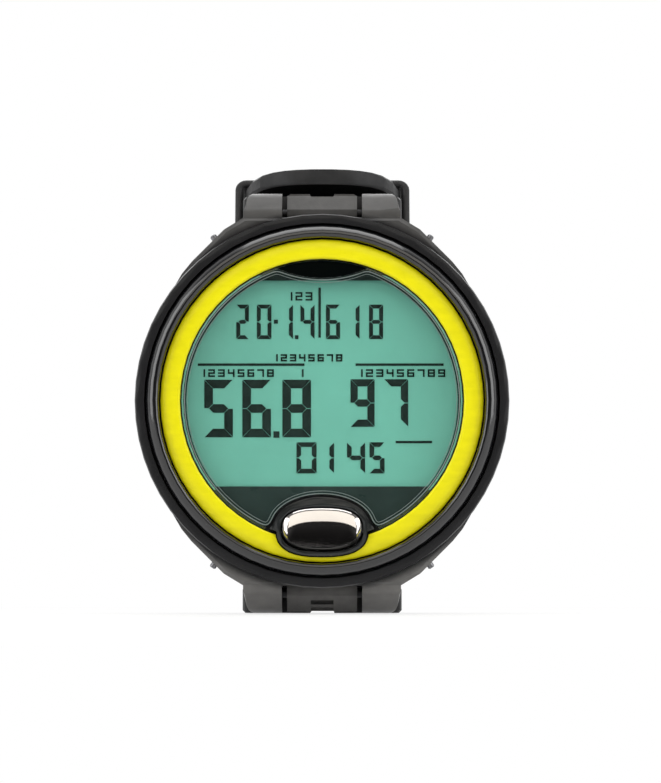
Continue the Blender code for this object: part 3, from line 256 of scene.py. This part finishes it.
def case_plastic():
    """Satin black on the round case, with painted light on the shoulders and lugs: a paler grey
    there.
    """
    made = Surface("case_satin", IOR=1.5, Specular_IOR_Level=0.24)
    place = made.tree.nodes.new("ShaderNodeVectorMath")
    place.operation = "MULTIPLY_ADD"
    made.link(made.coords, place.inputs[0])
    place.inputs[1].default_value = (1.0 / MM, 0.0, 1.0 / MM)
    place.inputs[2].default_value = (0.0, 0.0, -CASE_Z)
    away = length_of(made.tree, place.outputs["Vector"])
    # Painted light: paler grey on the shoulders and lugs, beyond the case's rim.
    painted_light_share = map_range(made.tree, away, CASE_RIM, LUGS_FROM)
    tone = made.tones(made.noise(9.0), (0.007, 0.007, 0.008), (0.010, 0.010, 0.011))
    made.blend(tone, made.painted_light(made.noise(3.0)), painted_light_share)
    made.gloss(made.noise(4.0, 5.0), 0.33, 0.43)
    made.bump(made.noise(0.22, 2.0), 0.005)
    return made.material


def seal_rubber():
    """Black rubber of the seals, with faint flow marks."""
    made = Surface("seal_rubber", IOR=1.45)
    black = (0.012, 0.012, 0.013)
    flow = made.noise((2.5, 6.0, 2.5), 6.0)
    made.colour(flow, tint(black, 0.8), tint(black, 1.35))
    made.gloss(made.noise(1.2, 4.0), 0.528, 0.66)
    made.stipple()
    return made.material


def strap_rubber():
    """The strap: black rubber, with painted light on the fronts of its two ends: a paler grey
    there.
    """
    made = Surface("strap_rubber", IOR=1.45, Specular_IOR_Level=0.32)
    flow = made.noise((2.5, 6.0, 2.5), 6.0)
    rubber_black = made.tones(flow, (0.014, 0.014, 0.015), (0.023, 0.023, 0.024))
    # Painted light: paler grey on the fronts of the strap's two ends.
    made.blend(rubber_black, made.painted_light(flow), made.place("Y", -26.0, -31.0))
    made.gloss(made.noise(1.2, 4.0), 0.44, 0.55)
    made.stipple()
    return made.material


def brushed(name, colour, rough, along):
    """Brushed metal, its marks running along one axis."""
    made = Surface(name, Metallic=1.0)
    marks = made.noise(along, 6.0, 0.7)
    made.colour(made.noise(5.0), tint(colour, 0.88), tint(colour, 1.08))
    made.gloss(marks, rough * 0.7, rough * 1.35)
    made.bump(marks, 0.004)
    return made.material


def mirror_metal(name, colour, rough):
    """Polished metal with faint wipe marks."""
    made = Surface(name, Metallic=1.0)
    made.colour(made.noise(6.0), tint(colour, 0.95), tint(colour, 1.03))
    made.gloss(made.noise((0.15, 3.0, 3.0), 6.0, 0.7), rough * 0.6, rough * 1.7)
    made.bump(made.noise(2.0, 2.0), 0.002, 0.3)
    return made.material


def clear_lens():
    """Clear plastic with faint wipe marks; light passes it without a shadow."""
    made = Surface("lens_clear", IOR=1.49)
    made.shader.inputs["Transmission Weight"].default_value = 1.0
    made.shader.inputs["Base Color"].default_value = (0.985, 0.995, 0.99, 1.0)
    made.gloss(made.noise((0.3, 5.0, 5.0), 5.0), 0.0, 0.02)
    nodes = made.tree.nodes
    path = nodes.new("ShaderNodeLightPath")
    passing = nodes.new("ShaderNodeBsdfTransparent")
    passing.inputs["Color"].default_value = (0.96, 0.97, 0.965, 1.0)
    mix = nodes.new("ShaderNodeMixShader")
    made.link(path.outputs["Is Shadow Ray"], mix.inputs["Fac"])
    made.link(made.shader.outputs["BSDF"], mix.inputs[1])
    made.link(passing.outputs["BSDF"], mix.inputs[2])
    made.link(mix.outputs["Shader"], nodes["Material Output"].inputs["Surface"])
    return made.material


def painted_edge_highlight():
    """Painted highlight for the edges of a clear part: a pale, half-clear grey-green that draws
    them as fine pale lines.
    """
    made = Surface("lens_highlight", IOR=1.49)
    made.shader.inputs["Transmission Weight"].default_value = 0.5
    made.colour(made.noise(3.0), (0.24, 0.31, 0.29), (0.34, 0.42, 0.40))
    made.gloss(made.noise(0.8), 0.45, 0.6)
    made.bump(made.noise(0.1, 2.0), 0.003)
    return made.material


def display_glass():
    """The lit display: teal with slow changes of tone and a faint pixel grain."""
    made = Surface("display_teal", IOR=1.5)
    teal = (0.165, 0.510, 0.405)
    made.colour(made.noise(14.0, 2.0), tint(teal, 0.96), tint(teal, 1.04))
    made.gloss(made.noise(2.0), 0.30, 0.38)
    made.bump(made.noise(0.12, 2.0), 0.002)
    return made.material


def circuit_green():
    """Solder mask over raised tracks."""
    made = Surface("board_green", IOR=1.5)
    tracks = made.waves(1.3, "X", 6.0)
    made.link(
        made.ramp(tracks, ((0.42, (0.008, 0.09, 0.03)), (0.55, (0.02, 0.19, 0.06)))),
        made.shader.inputs["Base Color"],
    )
    made.gloss(made.noise(2.0), 0.28, 0.42)
    made.bump(tracks, 0.02, 0.6)
    return made.material


def accent_yellow():
    """The yellow ring: satin plastic with fine flow marks."""
    made = Surface("ring_yellow", IOR=1.48, Specular_IOR_Level=0.25)
    yellow = (0.79, 0.72, 0.004)
    made.colour(made.noise((4.0, 4.0, 1.5), 5.0), tint(yellow, 0.94), tint(yellow, 1.05))
    made.gloss(made.noise(1.5, 5.0), 0.27, 0.38)
    made.bump(made.noise(0.5, 3.0), 0.006, 0.6)
    return made.material


def set_smooth(obj, smooth):
    faces = obj.data.polygons
    faces.foreach_set("use_smooth", [smooth] * len(faces))


def weld(obj):
    made = obj.modifiers.new("weld", "WELD")
    made.merge_threshold = WELD_GAP


def chamfer(obj, width, segments=3):
    """Rounds the sharp edges of a piece and shades the rest smooth."""
    made = obj.modifiers.new("bevel", "BEVEL")
    made.width = width * MM
    made.segments = segments
    made.limit_method = "ANGLE"
    made.angle_limit = SHARP
    made.harden_normals = True
    set_smooth(obj, True)
    return made


def even_shading(obj):
    """Smooth shading in which a large flat face stays flat."""
    made = obj.modifiers.new("shading", "WEIGHTED_NORMAL")
    made.mode = "FACE_AREA"
    made.weight = 50
    made.keep_sharp = True


# Nodes with large flat faces beside gentle slopes
FLAT_FACED = {"case_body", "battery_hatch", "circuit_board", "battery"}

# Chamfers of the nodes' sharp edges, in millimetres
CHAMFERS = {
    "case_body": 0.15,
    "bezel_ring": 0.08,
    "accent_ring": 0.22,
    "button_surround": 0.1,
    "battery_hatch": 0.12,
    "buckle_frame": 0.15,
}


def dress(node, material):
    """Gives a carried node its material; its gentle edges are shaded smooth."""
    solid = NODES[node]
    solid.data.materials.clear()
    solid.data.materials.append(material)
    weld(solid)
    if node in CHAMFERS:
        chamfer(solid, CHAMFERS[node], 2)
    else:
        set_smooth(solid, True)
        split = solid.modifiers.new("split", "EDGE_SPLIT")
        split.split_angle = SPLIT
    if node in FLAT_FACED:
        even_shading(solid)


BLACK = (0.016, 0.016, 0.017)
STEEL = (0.56, 0.56, 0.57)


def dress_nodes():
    satin = case_plastic()
    gloss = moulded("bezel_gloss", (0.006, 0.006, 0.007), 0.16, 1.2, 0.002, coat=0.6)
    plate = moulded("surround_gloss", (0.010, 0.012, 0.012), 0.24, 0.6, 0.002)
    mask = moulded("mask_ink", (0.024, 0.042, 0.038), 0.3, 0.8, 0.001, shine=0.2)
    seal = seal_rubber()
    white = moulded("diffuser_white", (0.72, 0.72, 0.70), 0.4)
    chip = moulded("chip_epoxy", (0.02, 0.02, 0.022), 0.55, 0.15, 0.01)
    hatch = moulded("hatch_black", BLACK, 0.42, 0.3, 0.02)
    steel = brushed("steel_brushed", STEEL, 0.28, (4.0, 0.15, 0.15))
    lathe = brushed("steel_turned", STEEL, 0.22, (0.2, 2.0, 2.0))
    # Painted shade: the strap pins are coloured near-black for the dark gaps around them.
    pin_painted_shade = brushed("steel_painted_shade", (0.035, 0.035, 0.036), 0.42, (0.2, 2.0, 2.0))
    grey_pin = brushed("steel_dull", (0.20, 0.20, 0.21), 0.38, (0.2, 2.0, 2.0))
    brass = brushed("brass_sheet", (0.62, 0.45, 0.17), 0.25, (0.2, 2.0, 0.2))
    cell = brushed("cell_steel", (0.62, 0.61, 0.58), 0.3, (3.0, 3.0, 0.3))
    chrome = mirror_metal("button_chrome", (0.63, 0.60, 0.58), 0.06)
    looks = {
        "case_body": satin,
        "bezel_ring": gloss,
        "accent_ring": accent_yellow(),
        "lens_gasket": seal,
        "display_mask": mask,
        "lcd_panel": display_glass(),
        "light_guide": white,
        "display_carrier": white,
        "backlight_led": white,
        "lcd_connector": seal,
        "circuit_board": circuit_green(),
        "board_screw_1": lathe,
        "board_screw_2": lathe,
        "board_screw_3": lathe,
        "tact_switch": steel,
        "processor_chip": chip,
        "crystal_can": steel,
        "buzzer_disc": brass,
        "pressure_sensor": steel,
        "pressure_sensor_seal": seal,
        "button": chrome,
        "button_surround": plate,
        "button_spring": lathe,
        "button_seal": seal,
        "button_clip": steel,
        "battery": cell,
        "battery_contact_plus": brass,
        "battery_contact_minus": brass,
        "battery_hatch": hatch,
        "battery_hatch_seal": seal,
        "strap_pin_upper": pin_painted_shade,
        "strap_pin_lower": pin_painted_shade,
        "buckle_frame": steel,
        "buckle_pin": lathe,
        "buckle_prong": steel,
    }
    for number in range(1, 5):
        looks[f"side_pin_{number}"] = grey_pin
    for node, material in looks.items():
        dress(node, material)
    dress_lens()


def dress_lens():
    """The lens: its polished faces stay flat and its fine chamfers get a pale painted highlight.
    """
    lens = NODES["lens"]
    lens.data.materials.clear()
    lens.data.materials.append(clear_lens())
    lens.data.materials.append(painted_edge_highlight())
    weld(lens)
    bevel = chamfer(lens, 0.16, 1)
    bevel.harden_normals = False
    # Painted highlight: the chamfers take the pale edge material.
    bevel.material = 1
    set_smooth(lens, False)


# Pieces


def add_piece(name, mesh, material, body):
    """A visible piece that rides on a body."""
    made = bpy.data.objects.new(name, mesh)
    mesh.materials.clear()
    mesh.materials.append(material)
    bpy.context.scene.collection.objects.link(made)
    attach(made, body)
    return made


def strap_piece(node, name, material, body, width):
    """Strap rubber in the form of its solid, with moulded, rounded edges."""
    made = add_piece(name, NODES[node].data.copy(), material, body)
    weld(made)
    chamfer(made, width)
    even_shading(made)
    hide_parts(node)


def add_prism(bm, front, back):
    """A closed prism between two outlines of as many points each."""
    rings = [[bm.verts.new(point) for point in outline] for outline in (front, back)]
    bm.faces.new(rings[0])
    bm.faces.new(rings[1][::-1])
    for i in range(len(front)):
        j = (i + 1) % len(front)
        bm.faces.new((rings[0][i], rings[1][i], rings[1][j], rings[0][j]))


def mesh_of(bm, name):
    bmesh.ops.recalc_face_normals(bm, faces=bm.faces)
    mesh = bpy.data.meshes.new(name)
    bm.to_mesh(mesh)
    bm.free()
    return mesh


def case_point(x, z, depth):
    """A point from the middle of the case's front, at a depth y."""
    return (x * MM, depth * MM, (z + CASE_Z) * MM)


def make_straps():
    black = strap_rubber()
    strap_piece("strap_lower", "strap_lower_rubber", black, "long_strap", 0.3)
    strap_piece("strap_upper", "strap_upper_rubber", black, "short_strap", 0.3)
    strap_piece("strap_keeper", "strap_keeper_rubber", black, "keeper", 0.25)


# Display numerals, as bars on the face of the display: top, upper right, lower right,
# bottom, lower left, upper left, middle
BARS = {
    "0": "1111110",
    "1": "0110000",
    "2": "1101101",
    "3": "1111001",
    "4": "0110011",
    "5": "1011011",
    "6": "1011111",
    "7": "1110000",
    "8": "1111111",
    "9": "1111011",
}


def numeral(char, left, top, width, height, stroke):
    """A numeral in bars with mitred ends: their outlines, in the photograph's pixels."""
    right, bottom, middle = left + width, top + height, top + height / 2
    gap = 0.35
    s, h = stroke, stroke / 2
    upper, lower = middle - gap, middle + gap
    shapes = (
        ((left + gap, top), (right - gap, top), (right - s, top + s), (left + s, top + s)),
        ((right, top + gap), (right, upper), (right - h, upper), (right - s, upper - h),
         (right - s, top + s + gap)),
        ((right, lower), (right, bottom - gap), (right - s, bottom - s - gap),
         (right - s, lower + h), (right - h, lower)),
        ((left + s, bottom - s), (right - s, bottom - s), (right - gap, bottom),
         (left + gap, bottom)),
        ((left, lower), (left + h, lower), (left + s, lower + h),
         (left + s, bottom - s - gap), (left, bottom - gap)),
        ((left, top + gap), (left + s, top + s + gap), (left + s, upper - h),
         (left + h, upper), (left, upper)),
        ((left + h + gap, middle), (left + s + gap, middle - h), (right - s - gap, middle - h),
         (right - h - gap, middle), (right - s - gap, middle + h), (left + s + gap, middle + h)),
    )
    return [shape for shape, on in zip(shapes, BARS[char]) if on == "1"]


def block(left, top, right, bottom):
    return ((left, top), (right, top), (right, bottom), (left, bottom))


def small_numeral(char, left, top, width, height, stroke):
    """A numeral in plain square bars, for the small rows."""
    right, bottom, middle = left + width, top + height, top + height / 2
    s, h = stroke, stroke / 2
    bars = (
        (left, top, right, top + s),
        (right - s, top, right, middle),
        (right - s, middle, right, bottom),
        (left, bottom - s, right, bottom),
        (left, middle, left + s, bottom),
        (left, top, left + s, middle),
        (left, middle - h, right, middle + h),
    )
    return [block(*bar) for bar, on in zip(bars, BARS[char]) if on == "1"]


def display_outlines():
    """Everything that the display shows: plain numerals, points and rules."""
    outlines = []
    for char, left, width in (
        ("2", 236.5, 12.5), ("0", 257.0, 14.5), ("1", 288.0, 5.0), ("4", 300.5, 14.0),
        ("6", 326.0, 14.0), ("1", 354.0, 5.5), ("8", 369.0, 14.0),
    ):
        outlines += numeral(char, left, 305.0, width, 34.5, 3.9)
    outlines.append(block(274.0, 320.0, 278.0, 324.0))
    outlines.append(block(295.0, 335.5, 298.5, 339.5))
    outlines.append(block(318.4, 288.0, 320.9, 338.0))
    for char, left in (("5", 204.5), ("6", 242.5), ("8", 282.5)):
        outlines += numeral(char, left, 380.0, 28.5, 57.5, 8.6)
    outlines.append(block(273.5, 431.5, 279.5, 438.0))
    for char, left in (("9", 350.5), ("7", 384.0)):
        outlines += numeral(char, left, 379.5, 24.0, 47.5, 7.2)
    for char, left, width in (
        ("0", 296.5, 20.0), ("1", 328.0, 6.0), ("4", 347.0, 18.0), ("5", 369.5, 15.0),
    ):
        outlines += numeral(char, left, 442.5, width, 31.0, 4.6)
    outlines.append(block(198.0, 363.7, 304.5, 366.2))
    outlines.append(block(355.5, 363.7, 443.5, 366.2))
    outlines.append(block(395.5, 441.0, 432.0, 443.5))
    # Rows of small numerals: left, top, how many, pitch and height
    rows = (
        (285.5, 292.5, 3, 10.0, 8.5),
        (271.5, 354.5, 8, 9.2, 7.3),
        (198.5, 369.5, 8, 9.8, 7.8),
        (297.0, 369.5, 1, 9.5, 7.8),
        (355.5, 369.5, 9, 10.3, 7.8),
    )
    for left, top, count, pitch, height in rows:
        for i in range(count):
            char = str(i + 1)
            outlines += small_numeral(char, left + pitch * i, top, pitch * 0.70, height, 1.7)
    return outlines


def make_display():
    """The display's numerals, a thin print just in front of its glass."""
    back = LCD_FRONT_Y - PRINT_GAP
    front = back - PRINT_DEPTH
    bm = bmesh.new()
    for outline in display_outlines():
        add_prism(bm, *([photo_point(x, y, d) * MM for x, y in outline] for d in (front, back)))
    mesh = mesh_of(bm, "display_numerals")
    ink = moulded("display_ink", (0.014, 0.027, 0.023), 0.5, 0.3, 0.001, shine=0.1)
    add_piece("display_numerals", mesh, ink, "case")


def notch_corner(rim, notch_r, notch_z):
    """Where a circle about the case's middle meets the notch's circle, on the right."""
    z = (notch_z**2 + rim**2 - notch_r**2) / (2 * notch_z)
    return math.sqrt(rim**2 - z**2), z


def make_notch_shade():
    """Black print in the notch above the display, made near-black and without shine as painted
    shade for the deep notch.
    """
    rim, notch_r, notch_z, steps = 24.95, 20.0, 41.95, 24
    corner_x, _ = notch_corner(rim, notch_r, notch_z)
    places = [corner_x * (2 * i / steps - 1) for i in range(steps + 1)]
    outline = [(x, notch_z - math.sqrt(notch_r**2 - x * x)) for x in places]
    outline += [(x, math.sqrt(rim**2 - x * x)) for x in places[-2:0:-1]]
    bm = bmesh.new()
    depths = (NOTCH_Y - PRINT_DEPTH, NOTCH_Y)
    add_prism(bm, *([case_point(x, z, depth) for x, z in outline] for depth in depths))
    mesh = mesh_of(bm, "notch_shade")
    # Painted shade: near-black, without shine.
    ink = moulded("notch_painted_shade", (0.002, 0.003, 0.003), 0.8, 0.3, 0.001, shine=0.0)
    add_piece("notch_shade", mesh, ink, "case")


def lens_outline():
    """The edge of the lens's front, just inside it: rim, notch, rim and button arch."""
    rim, notch_r, notch_z = 24.6, 20.3, 41.9
    corner_x, corner_z = notch_corner(rim, notch_r, notch_z)
    arch_steps, rim_steps, notch_steps = 25, 60, 10
    half = [(0.0, ARCH_BASE + ARCH_H)]
    for i in range(1, arch_steps + 1):
        turn = math.radians(90.0 - 3.0 * i)
        half.append((ARCH_HALF_W * math.cos(turn), ARCH_BASE + ARCH_H * math.sin(turn)))
    half += ARCH_FOOT
    notch_turn = math.atan2(corner_z, corner_x)
    for i in range(rim_steps + 1):
        turn = ARCH_FOOT_TURN + (notch_turn - ARCH_FOOT_TURN) * i / rim_steps
        half.append((rim * math.cos(turn), rim * math.sin(turn)))
    for i in range(1, notch_steps + 1):
        x = corner_x * (1 - i / notch_steps)
        half.append((x, notch_z - math.sqrt(notch_r**2 - x * x)))
    return half + [(-x, z) for x, z in half[-2:0:-1]]


def even_loop(points, step):
    """A closed path set out again at even steps, with its corners eased."""
    ring = [Vector(point) for point in points]
    dense = []
    for a, b in zip(ring, ring[1:] + ring[:1]):
        parts = max(1, round((b - a).length / step))
        dense += [a.lerp(b, i / parts) for i in range(parts)]
    for _ in range(3):
        before, after = dense[-1:] + dense[:-1], dense[1:] + dense[:1]
        dense = [(a + 2 * p + b) / 4 for a, p, b in zip(before, dense, after)]
    return dense


def bead(bm, loop, inward, width, front, back):
    """A closed bead of square section, so far inside a loop."""
    rows = []
    for a, p, b in zip(loop[-1:] + loop[:-1], loop, loop[1:] + loop[:1]):
        along = (b - a).normalized()
        aside = Vector((-along.y, along.x))
        row = []
        for reach, depth in ((0, front), (width, front), (width, back), (0, back)):
            x, z = p + aside * (inward + reach)
            row.append(bm.verts.new(case_point(x, z, depth)))
        rows.append(row)
    for this, following in zip(rows, rows[1:] + rows[:1]):
        for i in range(4):
            j = (i + 1) % 4
            bm.faces.new((this[i], this[j], following[j], following[i]))


def make_lens_highlight():
    """Painted highlight on the lens's edge: two fine pale beads that follow its outline."""
    bm = bmesh.new()
    loop = even_loop(lens_outline(), 0.5)
    back = LENS_FRONT_Y + 0.03
    bead(bm, loop, 0.0, 0.16, LENS_FRONT_Y - 0.05, back)
    bead(bm, loop, 0.52, 0.09, LENS_FRONT_Y - 0.03, back)
    add_piece("lens_highlight", mesh_of(bm, "lens_highlight"), painted_edge_highlight(), "case")


# Floor, world and lights

FLOOR_HALF = 1.5
FLOOR_DROP = 0.0002
ROOM_LIGHT = 0.35
LIGHTS_AIM = Vector((0.0, -0.03, 0.04))


def arithmetic(tree, operation, first, second):
    """A maths node; each input is another node's output or a number."""
    made = tree.nodes.new("ShaderNodeMath")
    made.operation = operation
    for socket, value in zip(made.inputs, (first, second)):
        if isinstance(value, float):
            socket.default_value = value
        else:
            tree.links.new(value, socket)
    return made.outputs["Value"]


def white_to_camera(tree, shader_output, target, camera_share, mirror_share):
    """The camera, and mirrors and glass, see white by a share; the rest of the light doesn't."""
    nodes = tree.nodes
    path = nodes.new("ShaderNodeLightPath")
    mirrored = arithmetic(
        tree, "MAXIMUM", path.outputs["Is Glossy Ray"], path.outputs["Is Transmission Ray"]
    )
    mirrored = arithmetic(tree, "MULTIPLY", mirrored, mirror_share)
    direct = arithmetic(tree, "MULTIPLY", path.outputs["Is Camera Ray"], camera_share)
    seen = arithmetic(tree, "MAXIMUM", direct, mirrored)
    glow = nodes.new("ShaderNodeEmission")
    glow.inputs["Color"].default_value = (1.0, 1.0, 1.0, 1.0)
    mix = nodes.new("ShaderNodeMixShader")
    tree.links.new(seen, mix.inputs["Fac"])
    tree.links.new(shader_output, mix.inputs[1])
    tree.links.new(glow.outputs["Emission"], mix.inputs[2])
    tree.links.new(mix.outputs["Shader"], target)


def make_floor():
    """A pale floor that keeps the object's shadow and turns white further out."""
    bm = bmesh.new()
    bmesh.ops.create_grid(bm, x_segments=2, y_segments=2, size=FLOOR_HALF)
    mesh = bpy.data.meshes.new("floor")
    bm.to_mesh(mesh)
    bm.free()
    floor = bpy.data.objects.new("floor", mesh)
    floor.location.z = -FLOOR_DROP
    bpy.context.scene.collection.objects.link(floor)
    made = Surface("floor_pale", Roughness=0.6)
    made.colour(made.noise(60.0), (0.80, 0.80, 0.80), (0.84, 0.84, 0.84))
    mesh.materials.append(made.material)
    output = made.tree.nodes["Material Output"]
    white = map_range(made.tree, length_of(made.tree, made.coords), 0.10, 0.50, 0.70, 1.0)
    shader = made.shader.outputs["BSDF"]
    white_to_camera(made.tree, shader, output.inputs["Surface"], white, white)


def make_world():
    """A room that is white behind the object and dark behind the camera."""
    world = bpy.data.worlds.new("studio")
    bpy.context.scene.world = world
    world.use_nodes = True
    tree = world.node_tree
    nodes = tree.nodes
    room = nodes["Background"]
    room.inputs["Strength"].default_value = ROOM_LIGHT
    coords = nodes.new("ShaderNodeTexCoord")
    split = nodes.new("ShaderNodeSeparateXYZ")
    ramp = nodes.new("ShaderNodeValToRGB")
    ramp.color_ramp.elements[0].position = 0.0
    ramp.color_ramp.elements[0].color = (0.02, 0.02, 0.02, 1.0)
    ramp.color_ramp.elements[1].position = 0.75
    ramp.color_ramp.elements[1].color = (1.0, 1.0, 1.0, 1.0)
    tree.links.new(coords.outputs["Generated"], split.inputs["Vector"])
    tree.links.new(map_range(tree, split.outputs["Y"], -1.0, 0.6), ramp.inputs["Fac"])
    tree.links.new(ramp.outputs["Color"], room.inputs["Color"])
    target = nodes["World Output"].inputs["Surface"]
    mirrored = map_range(tree, split.outputs["Y"], -0.25, 0.15)
    white_to_camera(tree, room.outputs["Background"], target, 1.0, mirrored)


def area_light(name, place, size, power, colour=(1.0, 1.0, 1.0)):
    data = bpy.data.lights.new(name, "AREA")
    data.shape = "RECTANGLE"
    data.size, data.size_y = size
    data.energy = power
    data.color = colour
    light = bpy.data.objects.new(name, data)
    light.location = place
    aim = LIGHTS_AIM - Vector(place)
    light.rotation_euler = aim.to_track_quat("-Z", "Y").to_euler()
    bpy.context.scene.collection.objects.link(light)


def make_lights():
    area_light("softbox_left", (-0.72, -0.40, 0.26), (0.5, 0.8), 4.0)
    area_light("softbox_right", (0.72, -0.40, 0.26), (0.5, 0.8), 4.0)
    area_light("softbox_front", (0.0, -0.66, 0.56), (1.1, 0.50), 2.6, (1.0, 0.96, 0.88))
    area_light("softbox_top", (0.0, -0.10, 0.85), (0.8, 0.5), 3.2)
    area_light("fill_back", (0.0, 0.7, 0.5), (0.8, 0.5), 2.0)


make_camera()
dress_nodes()
make_straps()
make_display()
make_notch_shade()
make_lens_highlight()
make_floor()
make_world()
make_lights()

bpy.context.scene.view_settings.view_transform = "Standard"
